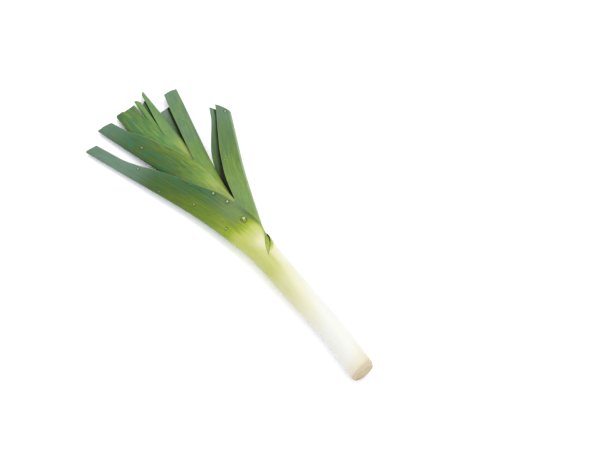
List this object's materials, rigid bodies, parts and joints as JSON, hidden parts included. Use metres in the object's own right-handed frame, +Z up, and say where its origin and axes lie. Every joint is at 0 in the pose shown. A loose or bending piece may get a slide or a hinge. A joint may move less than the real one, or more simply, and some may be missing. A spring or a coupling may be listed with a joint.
{
  "type": "leek",
  "caption": "Trimmed leek lying on its side: a long white shank with a cut root plate, and folded green leaves spreading flat in a fan from its upper end.",
  "frame": {"origin": "middle of the footprint, on the surface that the leek lies on", "axes": "+X along the leek from the root plate to the leaf tips, +Y to its left, +Z up"},
  "size_m": [0.4112, 0.156, 0.0276],
  "materials": {
    "shank_white": "satin",
    "root_beige": "matte",
    "leaf_green": "satin"
  },
  "bodies": {
    "root": {"shank": "shank_white", "root_plate": "root_beige", "leaf_1": "leaf_green", "leaf_2": "leaf_green", "leaf_3": "leaf_green", "leaf_4": "leaf_green", "leaf_5": "leaf_green", "leaf_6": "leaf_green", "leaf_7": "leaf_green"}
  },
  "joints": []
}
